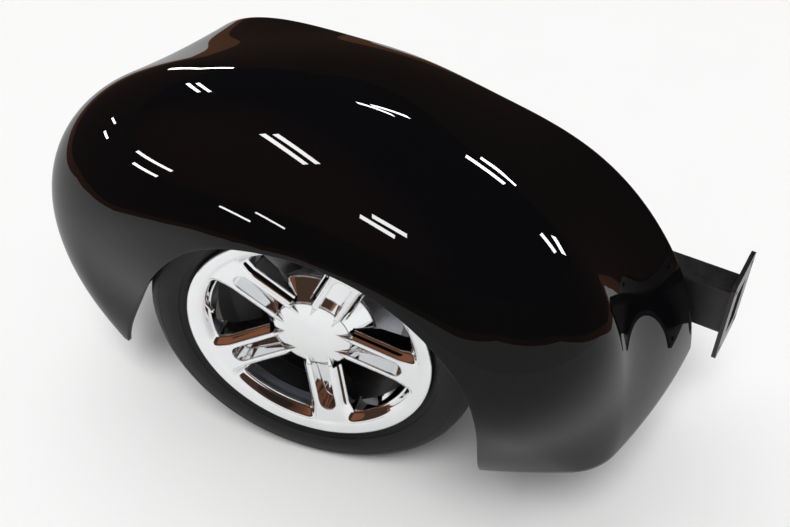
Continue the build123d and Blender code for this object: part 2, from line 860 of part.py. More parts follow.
with BuildPart() as brake_disc:
    with BuildSketch(wheel_section):
        with BuildLine():
            Polyline(
                (pad_y, pilot_radius), (pad_y, hat_radius), (disc_outer_y, hat_radius),
                (disc_outer_y, disc_radius), (disc_inner_y, disc_radius),
                (disc_inner_y, hub_radius + 2), (pad_y + hat_thickness, hub_radius + 2),
                (pad_y + hat_thickness, pilot_radius),
                close=True,
            )
        make_face()
    revolve(axis=wheel_axis)
    with BuildSketch(across(pad_y)):
        with PolarLocations(lug_circle, lug_count, lug_turn):
            Circle(lug_stud_radius)
    extrude(amount=hat_thickness, mode=Mode.SUBTRACT)
pieces["brake_disc"] = brake_disc

# Wheel centre: a dished plate from the flange ring to the hub, opened by five bevelled
# windows, with a pocket down each spoke that leaves two fins, and a hub shell with a lug well
def seam_depth(radius):
    """Depth of the spokes' front at a radius: they rise from the cap's seam to the ring."""
    return dish - fin_rise - fin_slope * (radius - cap_radius)


half_pitch = pi / spoke_count
window_edge = []
for run, flare in (
    (cap_radius / 2, 0), (window_radius - flare_run, 0), (window_radius, fin_flare),
    (window_radius + ring_width, fin_flare),
):
    offset = fin_spread + fin_width / 2 + flare
    window_edge.append((
        run * cos(half_pitch) + offset * sin(half_pitch),
        max(run * sin(half_pitch) - offset * cos(half_pitch), 0),
    ))
window_edge += [(x, -y) for x, y in reversed(window_edge[1:])]

window_cuts = []
for reach, depth in ((window_radius - bevel_width, spoke_back), (window_radius, bevel_end)):
    with BuildPart() as window_cut:
        with BuildSketch(Plane.XY):
            with BuildLine():
                Polyline(*window_edge, close=True)
            make_face()
            Circle(reach, mode=Mode.INTERSECT)
            Circle(cap_radius, mode=Mode.SUBTRACT)
            fillet(vertices().sort_by_distance((0, 0))[-2:], window_corner)
        extrude(amount=depth)
    window_cuts.append(window_cut)

with BuildPart() as bevel_cut:
    with BuildSketch(Plane.XZ):
        with BuildLine():
            Polyline(
                (0, 0), (window_radius, 0), (window_radius, ring_depth),
                (window_radius - bevel_width, bevel_end), (0, bevel_end),
                close=True,
            )
        make_face()
    revolve(axis=Axis.Z)
    add(window_cuts[-1].part, mode=Mode.INTERSECT)
window_cuts[-1] = bevel_cut

with BuildPart() as wheel_face:
    with BuildSketch(wheel_section):
        with BuildLine():
            Polyline(
                (0, rim_radius - 6.5), (1, rim_radius - 1.5), (4, rim_radius), (8, rim_radius),
                (bead_start - 1, rim_radius - 5.5), (bead_start, bead_seat_radius),
                (split_y, bead_seat_radius), (split_y, bead_seat_radius - barrel_wall),
                (bevel_end + 3, window_radius - bevel_width),
                (spoke_heel, window_radius - 2 * bevel_width), (spoke_back, cone_radius),
                (spoke_back, well_radius), (dish + 2, well_radius), (dish + 2, cap_radius),
                (seam_depth(cap_radius), cap_radius),
                (seam_depth(window_radius - bevel_width), window_radius - bevel_width),
                (ring_depth, window_radius), (ring_depth / 2, window_radius + 6),
                close=True,
            )
        make_face()
    revolve(axis=wheel_axis)
    for number in range(spoke_count):
        turn = spoke_turn + (number + 0.5) * 360 / spoke_count
        for cut in window_cuts:
            place = across(0).location * Location((0, 0, 0), (0, 0, turn))
            add(cut.part.moved(place), mode=Mode.SUBTRACT)
    pocket_half = fin_spread - fin_width / 2
    pocket_end = window_radius - pocket_setback - pocket_half
    with BuildSketch(across(0)):
        with PolarLocations(pocket_end, spoke_count, spoke_turn):
            Circle(pocket_half)
        with PolarLocations((well_radius + pocket_end) / 2, spoke_count, spoke_turn):
            Rectangle(pocket_end - well_radius, 2 * pocket_half)
    extrude(amount=pocket_floor, mode=Mode.SUBTRACT)
    with BuildSketch(wheel_section):
        with BuildLine():
            Polyline(
                (dish + 2, cap_radius), (spoke_back, cone_radius), (spoke_back + 6, cone_radius),
                (spoke_back + 8, cone_radius - 8), (pad_y, hat_radius), (pad_y, pilot_radius),
                (pad_y - pad_thickness, pilot_radius), (pad_y - pad_thickness, well_radius),
                (dish + 2, well_radius),
                close=True,
            )
        make_face()
    revolve(axis=wheel_axis)
    with BuildSketch(across(pad_y - pad_thickness)):
        with PolarLocations(lug_circle, lug_count, lug_turn):
            Circle(lug_stud_radius + fit_gap)
    extrude(amount=pad_thickness, mode=Mode.SUBTRACT)
    with BuildSketch(valve_plane):
        Circle(valve_radius)
    extrude(amount=valve_length, both=True, mode=Mode.SUBTRACT)
pieces["wheel_face"] = wheel_face

with BuildPart() as wheel_barrel:
    with BuildSketch(wheel_section):
        with BuildLine():
            well = bead_seat_radius - well_drop
            Polyline(
                (split_y, bead_seat_radius), (46, bead_seat_radius - 2), (56, well), (95, well),
                (112, bead_seat_radius - 3), (196, bead_seat_radius), (202, bead_seat_radius),
                (203, rim_radius - 5.5), (207, rim_radius), (212, rim_radius),
                (rim_width, rim_radius - 3.5), (214, bead_seat_radius + 4),
                (209, bead_seat_radius - barrel_wall), (112, bead_seat_radius - barrel_wall - 4),
                (98, well - barrel_wall), (53, well - barrel_wall),
                (44, bead_seat_radius - barrel_wall - 4), (split_y, bead_seat_radius - barrel_wall),
                close=True,
            )
        make_face()
    revolve(axis=wheel_axis)
pieces["wheel_barrel"] = wheel_barrel

# Centre cap: a low dome, with the ten fins running out over it to points
with BuildPart() as cap_tips:
    with BuildSketch(wheel_section):
        with BuildLine():
            Polyline(
                (dish - cap_dome / 2, tip_radius), (seam_depth(cap_radius), cap_radius),
                (dish + 1, cap_radius), (dish + 1, tip_radius),
                close=True,
            )
        make_face()
    revolve(axis=wheel_axis)
    with BuildSketch(across(0)):
        for number in range(spoke_count):
            for side in (-1, 1):
                with BuildLine(Location((0, 0, 0), (0, 0, spoke_turn + number * 360 / spoke_count))):
                    Polyline(
                        (tip_radius, side * fin_spread),
                        (cap_radius, side * (fin_spread - fin_width / 2)),
                        (cap_radius, side * (fin_spread + fin_width / 2)),
                        close=True,
                    )
                make_face()
    extrude(amount=dish + 2, mode=Mode.INTERSECT)

with BuildPart() as centre_cap:
    with BuildSketch(wheel_section):
        with BuildLine():
            Line((dish - cap_dome, 0), (dish + cap_depth, 0))
            Line((dish + cap_depth, 0), (dish + cap_depth, well_radius - 1))
            Line((dish + cap_depth, well_radius - 1), (dish + 2, well_radius - 1))
            Line((dish + 2, well_radius - 1), (dish + 2, cap_radius))
            Line((dish + 2, cap_radius), (dish, cap_radius))
            TangentArc((dish - cap_dome, 0), (dish, cap_radius), tangent=(0, 1))
        make_face()
    revolve(axis=wheel_axis)
    add(cap_tips.part)
pieces["centre_cap"] = centre_cap

with BuildPart() as lug_nuts:
    with BuildSketch(across(pad_y - pad_thickness - nut_height)):
        with PolarLocations(lug_circle, lug_count, lug_turn):
            RegularPolygon(nut_radius, 6)
            Circle(lug_stud_radius, mode=Mode.SUBTRACT)
    extrude(amount=nut_height)
pieces["lug_nuts"] = lug_nuts

with BuildPart() as valve_stem:
    with BuildSketch(valve_plane):
        Circle(valve_radius)
    extrude(amount=valve_length)
pieces["valve_stem"] = valve_stem

# Tyre: a tubeless casing seated on the rim, open towards it. Its rows give one side from bead
# to tread, as depth from the rim's outer plane and share of the section's height.
TyreRow = namedtuple("TyreRow", "depth share")
tyre_outside = [TyreRow(-tyre_bulge, 0.42), TyreRow(4, 0.82), TyreRow(30, 1)]
tyre_inside = [TyreRow(15, 1)]


def tyre_side(rows, crown):
    """Points of one side's rows, between the rim's edge and a crown radius."""
    return [(row.depth, rim_radius + row.share * (crown - rim_radius)) for row in rows]


half_casing = [(bead_start, bead_seat_radius), (bead_start, rim_radius - 3.5)]
half_casing += tyre_side(tyre_outside, tyre_radius)
half_lining = tyre_side(tyre_inside, tyre_radius - tread_wall) + [(bead_start + 20, bead_seat_radius)]
with BuildPart() as tyre:
    with BuildSketch(wheel_section):
        with BuildLine():
            Polyline(
                *half_casing, *[(rim_width - depth, radius) for depth, radius in reversed(half_casing)],
                *[(rim_width - depth, radius) for depth, radius in reversed(half_lining)], *half_lining,
                close=True,
            )
        make_face()
    revolve(axis=wheel_axis)
pieces["tyre"] = tyre

# Headlamp: a bucket behind the nose, a bezel through the skin and a domed lens
with BuildPart() as headlamp_bezel:
    with BuildSketch(lamp_section):
        with BuildLine():
            Polyline(
                (-34, lamp_radius), (-34, lamp_radius + lamp_rim), (0, lamp_radius + lamp_rim),
                (5, lamp_radius + 4), (4, lamp_radius - 4), (-2, lamp_radius - 4), (-2, lamp_radius),
                close=True,
            )
        make_face()
    revolve(axis=lamp_axis)
pieces["headlamp_bezel"] = headlamp_bezel

with BuildPart() as headlamp_lens:
    with BuildSketch(lamp_section):
        with BuildLine():
            Line((-6, 0), (-6, lamp_radius - 1))
            Line((-6, lamp_radius - 1), (-3, lamp_radius - 1))
            TangentArc((7, 0), (-3, lamp_radius - 1), tangent=(0, 1))
            Line((7, 0), (-6, 0))
        make_face()
    revolve(axis=lamp_axis)
pieces["headlamp_lens"] = headlamp_lens

with BuildPart() as headlamp_bucket:
    with BuildSketch(lamp_section):
        with BuildLine():
            Line((-8, lamp_radius - 1), (-8, lamp_radius - 3))
            ThreePointArc((-8, lamp_radius - 3), (-68, 63), (2 - lamp_depth, 20))
            Line((2 - lamp_depth, 20), (2 - lamp_depth, 0))
            Line((2 - lamp_depth, 0), (-lamp_depth, 0))
            Line((-lamp_depth, 0), (-lamp_depth, 20))
            ThreePointArc((-lamp_depth, 20), (-70, 65), (-8, lamp_radius - 1))
        make_face()
    revolve(axis=lamp_axis)
pieces["headlamp_bucket"] = headlamp_bucket

datum = Location((-rail_rear, -rail_middle[0], -rail_middle[1]))
for label, piece in pieces.items():
    piece.part.move(datum)
    piece.part.label = label
    export_step(piece.part, "parts/" + label + ".step")
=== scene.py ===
import math
from collections import namedtuple

import bmesh
import bpy
import numpy as np
from mathutils import Matrix, Vector
from mathutils.geometry import delaunay_2d_cdt

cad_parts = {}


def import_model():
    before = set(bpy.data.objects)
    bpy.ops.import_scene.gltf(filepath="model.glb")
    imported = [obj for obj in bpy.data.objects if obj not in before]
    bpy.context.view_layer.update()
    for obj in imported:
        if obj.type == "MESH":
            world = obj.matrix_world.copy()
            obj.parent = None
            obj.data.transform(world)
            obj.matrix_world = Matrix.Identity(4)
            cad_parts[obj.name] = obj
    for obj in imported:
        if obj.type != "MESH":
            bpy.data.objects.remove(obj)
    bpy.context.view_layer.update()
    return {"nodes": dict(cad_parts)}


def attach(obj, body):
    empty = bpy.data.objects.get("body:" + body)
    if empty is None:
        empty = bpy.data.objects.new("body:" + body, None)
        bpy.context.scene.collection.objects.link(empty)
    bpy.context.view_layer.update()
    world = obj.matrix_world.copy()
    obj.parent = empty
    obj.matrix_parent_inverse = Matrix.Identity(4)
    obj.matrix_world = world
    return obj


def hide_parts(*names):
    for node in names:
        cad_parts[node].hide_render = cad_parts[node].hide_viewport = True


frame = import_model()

nodes = frame["nodes"]

# Lengths below are in millimetres from the axle datum: X rearwards from the wheel centre, Y inboard
# from the outer rim plane, Z up from the floor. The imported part's origin lies at RAIL_FLANGE.
RAIL_FLANGE = (620.0, 502.0, 315.0)
HUB_HEIGHT = 313.0
STEER = math.radians(15)
INBOARD = np.array([-math.sin(STEER), math.cos(STEER), 0.0])
REARWARD = np.array([math.cos(STEER), math.sin(STEER), 0.0])

# Camera: a standing person's eye, outside the wheel and behind it; angles in radians
CAMERA_AT = (759.8, -913.5, 1538.9)
CAMERA_YAW, CAMERA_PITCH, CAMERA_ROLL = -0.559019, 0.718985, 0.004877
FOCAL_PIXELS = 950.0
FRAME_WIDTH = 790
SENSOR_WIDTH = 36


def at(points):
    """Millimetres from the axle datum, as metres in the part's frame."""
    return (np.asarray(points, float) - RAIL_FLANGE) / 1000


def on_wheel(rearward, depth, up):
    """Datum point of a place given from the steered wheel: rearward, inboard and up."""
    base = np.multiply.outer(np.asarray(rearward, float), REARWARD)
    base = base + np.multiply.outer(np.asarray(depth, float), INBOARD)
    return base + np.multiply.outer(np.asarray(up, float), [0, 0, 1.0]) + [0, 0, HUB_HEIGHT]


# ---- materials

EDGE_SAMPLES = 6


def material(name):
    """A new material, its node tree and its principled shader."""
    made = bpy.data.materials.new(name)
    made.use_nodes = True
    tree = made.node_tree
    return made, tree, tree.nodes["Principled BSDF"]


def noise(tree, scale, detail=2.0, rough=0.5):
    """Noise that stays fixed to the object."""
    coordinates = tree.nodes.new("ShaderNodeTexCoord")
    texture = tree.nodes.new("ShaderNodeTexNoise")
    texture.inputs["Scale"].default_value = scale
    texture.inputs["Detail"].default_value = detail
    texture.inputs["Roughness"].default_value = rough
    tree.links.new(coordinates.outputs["Object"], texture.inputs["Vector"])
    return texture


def tint(tree, shader, texture, low, high, colors):
    """Base colour that a texture drives from one colour to another."""
    made = tree.nodes.new("ShaderNodeValToRGB")
    for element, place, color in zip(made.color_ramp.elements, (low, high), colors):
        element.position = place
        element.color = (*color, 1)
    tree.links.new(texture.outputs["Fac"], made.inputs["Fac"])
    tree.links.new(made.outputs["Color"], shader.inputs["Base Color"])


def haze(tree, shader, texture, low, high):
    """Roughness that a texture drives between two values."""
    made = tree.nodes.new("ShaderNodeMapRange")
    made.inputs["To Min"].default_value = low
    made.inputs["To Max"].default_value = high
    tree.links.new(texture.outputs["Fac"], made.inputs["Value"])
    tree.links.new(made.outputs["Result"], shader.inputs["Roughness"])


def bump(tree, shader, texture, strength, distance, edge=None):
    """Bump from a texture, over edges rounded by a radius in metres."""
    made = tree.nodes.new("ShaderNodeBump")
    made.inputs["Strength"].default_value = strength
    made.inputs["Distance"].default_value = distance
    tree.links.new(texture.outputs["Fac"], made.inputs["Height"])
    if edge:
        rounded = tree.nodes.new("ShaderNodeBevel")
        rounded.samples = EDGE_SAMPLES
        rounded.inputs["Radius"].default_value = edge
        tree.links.new(rounded.outputs["Normal"], made.inputs["Normal"])
    tree.links.new(made.outputs["Normal"], shader.inputs["Normal"])


def scaled(color, share):
    """A colour made darker or lighter by a share."""
    return [channel * share for channel in color]


def paint(name, color, roughness, edge=0.001):
    """Satin paint over steel, with a faint texture and softened edges."""
    made, tree, shader = material(name)
    texture = noise(tree, 45, 5, 0.6)
    tint(tree, shader, texture, 0.35, 0.7, (scaled(color, 0.7), scaled(color, 1.25)))
    haze(tree, shader, texture, roughness * 0.75, roughness * 1.25)
    bump(tree, shader, noise(tree, 600, 2), 0.08, 0.0003, edge)
    return made


def deep_gloss(name, color):
    """Dark paint under a polished clear coat: only the coat mirrors."""
    made, tree, shader = material(name)
    texture = noise(tree, 260, 6, 0.7)
    tint(tree, shader, texture, 0.62, 0.8, (color, scaled(color, 3)))
    haze(tree, shader, texture, 0.3, 0.5)
    shader.inputs["Specular IOR Level"].default_value = 0
    shader.inputs["Coat Weight"].default_value = 0.52
    shader.inputs["Coat IOR"].default_value = 1.4
    shader.inputs["Coat Roughness"].default_value = 0.008
    return made


def metal(name, color, roughness, grain, depth=0.0002, edge=0.0006):
    """Bare or plated metal with a fine grain in its gloss."""
    made, tree, shader = material(name)
    shader.inputs["Metallic"].default_value = 1
    texture = noise(tree, grain, 4)
    tint(tree, shader, texture, 0.3, 0.7, (scaled(color, 0.85), color))
    haze(tree, shader, texture, roughness * 0.7, roughness * 1.3)
    bump(tree, shader, texture, 0.1, depth, edge)
    return made


def turned(name, color, roughness, pitch):
    """Metal cut on a lathe: rings about the wheel's axle, as fine as pitch says."""
    made, tree, shader = material(name)
    shader.inputs["Metallic"].default_value = 1
    coordinates = tree.nodes.new("ShaderNodeTexCoord")
    turn = tree.nodes.new("ShaderNodeMapping")
    turn.vector_type = "TEXTURE"
    turn.inputs["Location"].default_value = at((0, 0, HUB_HEIGHT))
    turn.inputs["Rotation"].default_value = (math.pi / 2, 0, STEER)
    rings = tree.nodes.new("ShaderNodeTexWave")
    rings.wave_type = "RINGS"
    rings.rings_direction = "Z"
    rings.inputs["Scale"].default_value = pitch
    rings.inputs["Distortion"].default_value = 0.6
    rings.inputs["Detail"].default_value = 3
    tree.links.new(coordinates.outputs["Object"], turn.inputs["Vector"])
    tree.links.new(turn.outputs["Vector"], rings.inputs["Vector"])
    tint(tree, shader, rings, 0.1, 0.9, (scaled(color, 0.8), color))
    haze(tree, shader, rings, roughness * 0.8, roughness * 1.2)
    bump(tree, shader, rings, 0.2, 0.0002, 0.0006)
    return made


def chrome(name, edge=0.0015):
    """Polished plating over rounded edges, a little hazy in places."""
    made, tree, shader = material(name)
    shader.inputs["Metallic"].default_value = 1
    texture = noise(tree, 14, 3)
    tint(tree, shader, texture, 0.3, 0.7, ((0.84, 0.85, 0.86), (0.9, 0.91, 0.92)))
    haze(tree, shader, texture, 0.02, 0.06)
    bump(tree, shader, texture, 0.05, 0.002, edge)
    return made


def rubber(name):
    """Black rubber, duller in patches, with a fine grain."""
    made, tree, shader = material(name)
    texture = noise(tree, 28, 6, 0.65)
    tint(tree, shader, texture, 0.3, 0.75, ((0.006, 0.006, 0.007), (0.013, 0.013, 0.014)))
    haze(tree, shader, texture, 0.36, 0.62)
    shader.inputs["Specular IOR Level"].default_value = 0.2
    bump(tree, shader, noise(tree, 900, 2), 0.15, 0.0002)
    return made


def glass(name):
    """Clear glass."""
    made, tree, shader = material(name)
    shader.inputs["Transmission Weight"].default_value = 1
    shader.inputs["IOR"].default_value = 1.5
    haze(tree, shader, noise(tree, 120, 2), 0.0, 0.03)
    return made


lacquer = deep_gloss("black_lacquer", (0.0025, 0.0025, 0.003))
chassis_black = paint("chassis_black", (0.014, 0.014, 0.015), 0.32)
underseal = paint("underseal", (0.013, 0.013, 0.013), 0.6)
finishes = {
    "fender": lacquer,
    "inner_apron": underseal,
    "apron_bracket_front": chassis_black,
    "apron_bracket_rear": chassis_black,
    "frame_rail": chassis_black,
    "crossmember": chassis_black,
    "shock_tower": chassis_black,
    "lower_arm": chassis_black,
    "upper_arm": chassis_black,
    "upper_shaft": metal("zinc", (0.6, 0.6, 0.58), 0.3, 200),
    "damper_body": metal("damper_alloy", (0.75, 0.75, 0.77), 0.25, 120),
    "coil_spring": chrome("spring_chrome"),
    "knuckle": metal("forged_iron", (0.16, 0.15, 0.15), 0.5, 150, 0.0006),
    "caliper": metal("caliper_silver", (0.4, 0.4, 0.41), 0.4, 300, 0.0003),
    "brake_disc": turned("turned_iron", (0.78, 0.8, 0.86), 0.5, 160),
    "wheel_face": chrome("wheel_chrome", 0.005),
    # Painted shade: the barrel's chrome plating is given a near-black colour to stand for the
    # shadow inside the wheel
    "wheel_barrel": metal("shade_darkened_plating", (0.1, 0.1, 0.1), 0.35, 60),
    "tyre": rubber("tyre_rubber"),
    "headlamp_lens": glass("lamp_glass"),
}
SAME_FINISH = {
    "upper_shaft": ("lower_ball_joint", "upper_ball_joint", "damper_rod", "pivot_bolts"),
    "knuckle": ("hub",),
    "wheel_face": ("centre_cap", "lug_nuts", "valve_stem", "headlamp_bezel", "headlamp_bucket"),
}
for source, names in SAME_FINISH.items():
    for name in names:
        finishes[name] = finishes[source]
for name, node in nodes.items():
    node.data.materials.clear()
    node.data.materials.append(finishes[name])


def piece(name, vertices, faces, finish, body, smooth=True):
    """A mesh piece from points in the part's frame, riding on a body."""
    mesh = bpy.data.meshes.new(name)
    mesh.from_pydata([tuple(v) for v in vertices], [], [tuple(f) for f in faces])
    mesh.materials.append(finish)
    mesh.validate()
    if smooth:
        mesh.shade_smooth()
    else:
        mesh.shade_flat()
    made = bpy.data.objects.new(name, mesh)
    bpy.context.scene.collection.objects.link(made)
    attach(made, body)
    return made


def grid_faces(rows, columns, closed=False):
    """Quads of a grid of points; closed joins the last column to the first."""
    faces = []
    for i in range(rows - 1):
        for j in range(columns if closed else columns - 1):
            k = (j + 1) % columns
            low, high = i * columns, (i + 1) * columns
            faces.append((low + j, low + k, high + k, high + j))
    return faces


# ---- fender skin

# The shell is swept through sections that fan out from a line across the car at FAN_HEIGHT: angle
# forwards from upright in degrees, then points as distance inboard and radius, foot to seam
FAN_HEIGHT = 205.0
SHELL = 3.5
SKIN_INSET = 0.2
Fan = namedtuple("Fan", "angle foot shoulder lean crown seam")
FANS = [
    Fan(-90, (-24, 306), (75, 490), 33, (150, 541), (467, 569)),
    Fan(-75, (-84, 305), (-14, 450), 28, (150, 556), (455, 556)),
    Fan(-60, (-102, 300), (-88, 440), 10, (145, 585), (428, 550)),
    Fan(-40, (-97, 290), (-101, 410), 0, (140, 594), (395, 541)),
    Fan(-20, (-98, 260), (-103, 375), 0, (140, 572), (395, 497)),
    Fan(0, (-98, 250), (-103, 360), 0, (140, 575), (395, 496)),
    Fan(20, (-96, 270), (-101, 385), 0, (140, 594), (395, 530)),
    Fan(40, (-93, 290), (-99, 430), 0, (138, 634), (410, 608)),
    Fan(60, (-79, 300), (-85, 480), 0, (132, 680), (450, 662)),
    Fan(78, (-62, 310), (-66, 475), 0, (128, 668), (455, 655)),
    Fan(90, (-58, 310), (-59, 440), 3, (112, 630), (455, 640)),
    Fan(98, (-60, 330), (-52, 430), 10, (21, 509), (440, 605)),
]

# The wheel opening's edge, seen from the side, from the tail forwards
OPENING = [(350, 150), (378, 350), (370, 487), (285, 571), (150, 616), (-10, 603),
           (-115, 562), (-207, 487), (-320, 340), (-417, 160), (-450, 60)]
OPENING_SAMPLES = 800
ROWS, COLUMNS = 240, 96


def spline(knots, values, at_knots):
    """Natural cubic spline through values, at new places."""
    knots, values = np.asarray(knots, float), np.asarray(values, float)
    count = len(knots)
    step = np.diff(knots)
    system = np.eye(count)
    right = np.zeros((count, values.shape[1]))
    for i in range(1, count - 1):
        system[i, i - 1:i + 2] = step[i - 1], 2 * (step[i - 1] + step[i]), step[i]
        slopes = (values[i:i + 2] - values[i - 1:i + 1]) / step[i - 1:i + 1, None]
        right[i] = 6 * (slopes[1] - slopes[0])
    bend = np.linalg.solve(system, right)
    place = np.clip(np.searchsorted(knots, at_knots) - 1, 0, count - 2)
    h = step[place][:, None]
    a = (knots[place + 1] - at_knots)[:, None] / h
    b = 1 - a
    curve = a * values[place] + b * values[place + 1]
    return curve + ((a ** 3 - a) * bend[place] + (b ** 3 - b) * bend[place + 1]) * h ** 2 / 6


def heading(lean):
    """Direction that leans inboard from straight out, by degrees."""
    return np.array([math.sin(math.radians(lean)), math.cos(math.radians(lean))])


def arc(start, tangent, end, shares):
    """Points of the arc that leaves start along a tangent and reaches end."""
    chord = np.subtract(end, start)
    length = np.hypot(*chord)
    turn = math.atan2(tangent[0] * chord[1] - tangent[1] * chord[0], tangent @ chord)
    out = []
    for share in shares:
        reach = length * (share if abs(turn) < 1e-6 else math.sin(turn * share) / math.sin(turn))
        angle = turn * share
        along = (tangent[0] * math.cos(angle) - tangent[1] * math.sin(angle),
                 tangent[0] * math.sin(angle) + tangent[1] * math.cos(angle))
        out.append((start[0] + reach * along[0], start[1] + reach * along[1]))
    return out


def section(fan, samples=24):
    """Points of one section's three arcs, foot to seam: distance inboard and radius."""
    shares = np.linspace(0, 1, samples + 1)
    wall = arc(fan.shoulder, -heading(fan.lean), fan.foot, shares)[::-1]
    over = arc(fan.shoulder, heading(fan.lean), fan.crown, shares)
    chord = np.subtract(fan.crown, fan.shoulder)
    crown_lean = 2 * math.degrees(math.atan2(chord[0], chord[1])) - fan.lean
    top = arc(fan.crown, heading(crown_lean), fan.seam, shares)
    return np.array(wall + over[1:] + top[1:])


def opening_radius(angles):
    """Distance of the wheel opening's edge from the fan line, at each angle."""
    points = np.array(OPENING, float)
    run = np.concatenate([[0], np.cumsum(np.hypot(*np.diff(points, axis=0).T))])
    dense = spline(run, points, np.linspace(0, run[-1], OPENING_SAMPLES))
    turn = np.degrees(np.arctan2(-dense[:, 0], dense[:, 1] - FAN_HEIGHT))
    reach = np.hypot(dense[:, 0], dense[:, 1] - FAN_HEIGHT)
    order = np.argsort(turn)
    return np.interp(angles, turn[order], reach[order])


def fender_skin():
    """Outer skin from the opening's edge to the seam, as a grid of datum points."""
    angles = np.linspace(FANS[0].angle, FANS[-1].angle, ROWS)
    sections = np.array([section(fan) for fan in FANS])
    flat = sections.reshape(len(FANS), -1)
    curves = spline([fan.angle for fan in FANS], flat, angles).reshape(ROWS, -1, 2)
    edge = opening_radius(angles)
    rows = []
    for angle, curve, start in zip(angles, curves, edge):
        radius = curve[:, 1]
        first = int(np.argmax(radius > start))
        share = (start - radius[first - 1]) / (radius[first] - radius[first - 1])
        begin = curve[first - 1] + share * (curve[first] - curve[first - 1])
        kept = np.vstack([begin, curve[first:]])
        run = np.concatenate([[0], np.cumsum(np.hypot(*np.diff(kept, axis=0).T))])
        places = np.linspace(0, run[-1], COLUMNS)
        inboard, reach = (spline(run, kept, places) - (0, SKIN_INSET)).T
        turn = math.radians(angle)
        rows.append(np.stack(
            [-reach * math.sin(turn), inboard, FAN_HEIGHT + reach * math.cos(turn)], axis=1))
    return np.array(rows)


LIP_DEPTH, LIP_CORNER = 9.0, 2.0
FLANGE_DEPTH, SEAM_CORNER = 25.0, 3.0
QUARTER = np.radians((22.5, 45.0, 67.5, 90.0))
FOOT_FLANGE = 40.0
FOOT_COLUMNS = slice(8, -12)
FOOT_BOLTS = ((540.0, 200.0), (540.0, 380.0))
FOOT_BOLT_RADIUS, FOOT_BOLT_SIDES = 4.5, 24


def unit(vectors):
    """Vectors at a length of 1."""
    return vectors / np.linalg.norm(vectors, axis=-1, keepdims=True)


def turned_edge(edge, along, across, corner, depth):
    """Rows of points that roll an edge from its own direction to another and run on."""
    columns = [edge + corner * (np.sin(a) * along + (1 - np.cos(a)) * across) for a in QUARTER]
    columns.append(columns[-1] + (depth - corner) * across)
    return columns


def thicken(made, offset, lining=None):
    """Sheet metal to one side of a mesh; a lining is the added side's own finish."""
    solid = made.modifiers.new("thickness", "SOLIDIFY")
    solid.thickness = SHELL / 1000
    solid.offset = offset
    if lining:
        made.data.materials.append(lining)
        solid.material_offset = 1


# The lip rolls in behind the opening's edge, and the seam's flange hangs towards the fan line
skin = fender_skin()
inwards = np.array([0.0, 1.0, 0.0])
fan_out = unit(skin[:, -1] * (1, 0, 1) - (0, 0, FAN_HEIGHT))
lip = turned_edge(skin[:, 0], unit(skin[:, 0] - skin[:, 1]), inwards, LIP_CORNER, LIP_DEPTH)
seam = turned_edge(
    skin[:, -1], unit(skin[:, -1] - skin[:, -2]), -fan_out, SEAM_CORNER, FLANGE_DEPTH)
skin = np.concatenate([np.stack(lip[::-1], axis=1), skin, np.stack(seam, axis=1)], axis=1)
fender = piece("fender_skin", at(skin.reshape(-1, 3)), grid_faces(ROWS, skin.shape[1]), lacquer,
               "chassis")
thicken(fender, -1, underseal)
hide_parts("fender")


def foot_flange():
    """Plate turned in under the tail, with its two bolt holes: points and triangles."""
    edge = skin[0, FOOT_COLUMNS, :2]
    along = unit(np.gradient(edge, axis=0))
    ahead = np.stack([-np.abs(along[:, 1]), along[:, 0] * np.sign(along[:, 1])], axis=1)
    turns = np.linspace(0, 2 * math.pi, FOOT_BOLT_SIDES, endpoint=False)
    hole = FOOT_BOLT_RADIUS * np.stack([np.cos(turns), np.sin(turns)], axis=1)
    loops = [np.vstack([edge + ahead, (edge + FOOT_FLANGE * ahead)[::-1]])]
    loops += [hole + bolt for bolt in FOOT_BOLTS]
    points, edges = [], []
    for loop in loops:
        first = len(points)
        points += [Vector(point) for point in loop]
        edges += [(first + i, first + (i + 1) % len(loop)) for i in range(len(loop))]
    holes_cut = 4
    flat, _, triangles, *_ = delaunay_2d_cdt(points, edges, [], holes_cut, 1e-4)
    return [(x, y, FAN_HEIGHT) for x, y in flat], triangles


points, triangles = foot_flange()
foot = piece("fender_foot_flange", at(points), triangles, underseal, "chassis",
             smooth=False)
thicken(foot, 1 if foot.data.polygons[0].normal.z > 0 else -1)

# ---- turned pieces, fasteners and the tyre


def revolve(profile, steps, origin, axis):
    """Points and faces of a profile of (along, radius) pairs, turned about an axis."""
    axis = Vector(axis).normalized()
    side = axis.orthogonal().normalized()
    other = axis.cross(side)
    rows = []
    for along, radius in profile:
        for a in np.linspace(0, 2 * math.pi, steps, endpoint=False):
            out = math.cos(a) * side + math.sin(a) * other
            rows.append(Vector(origin) + along * axis + radius * out)
    return rows, grid_faces(len(profile), steps, closed=True)


def joined(parts):
    """One list of points and one of faces, from several."""
    points, faces = [], []
    for more, with_faces in parts:
        faces += [tuple(index + len(points) for index in face) for face in with_faces]
        points += [tuple(point) for point in more]
    return points, faces


def capped(rows, faces, steps):
    """A turned form closed by a flat face at its last row."""
    return rows, faces + [tuple(range(len(rows) - steps, len(rows)))]


# A screw's washer, flats and chamfered top, as shares of its size: height and radius
WASHER = [(0, 1.12), (0.1, 1.12), (0.2, 0.98), (0.2, 0.5)]
FLATS = [(0.1, 0.9), (0.68, 0.9)]
CHAMFER = [(0.68, 0.9), (0.8, 0.72)]


def hex_screw(place, axis, size):
    """A flanged hexagon screw head standing on a face, along an axis."""
    def form(profile, steps):
        return revolve([(size * rise, size * reach) for rise, reach in profile], steps, place, axis)
    return joined([form(WASHER, 24), form(FLATS, 6), capped(*form(CHAMFER, 6), 6)])


def group(name, parts, finish, body, smooth=False):
    """Several forms as one piece, with their faces turned outwards."""
    points, faces = joined(parts)
    made = piece(name, at(points), faces, finish, body, smooth)
    mesh = bmesh.new()
    mesh.from_mesh(made.data)
    bmesh.ops.recalc_face_normals(mesh, faces=mesh.faces)
    mesh.to_mesh(made.data)
    mesh.free()
    return made


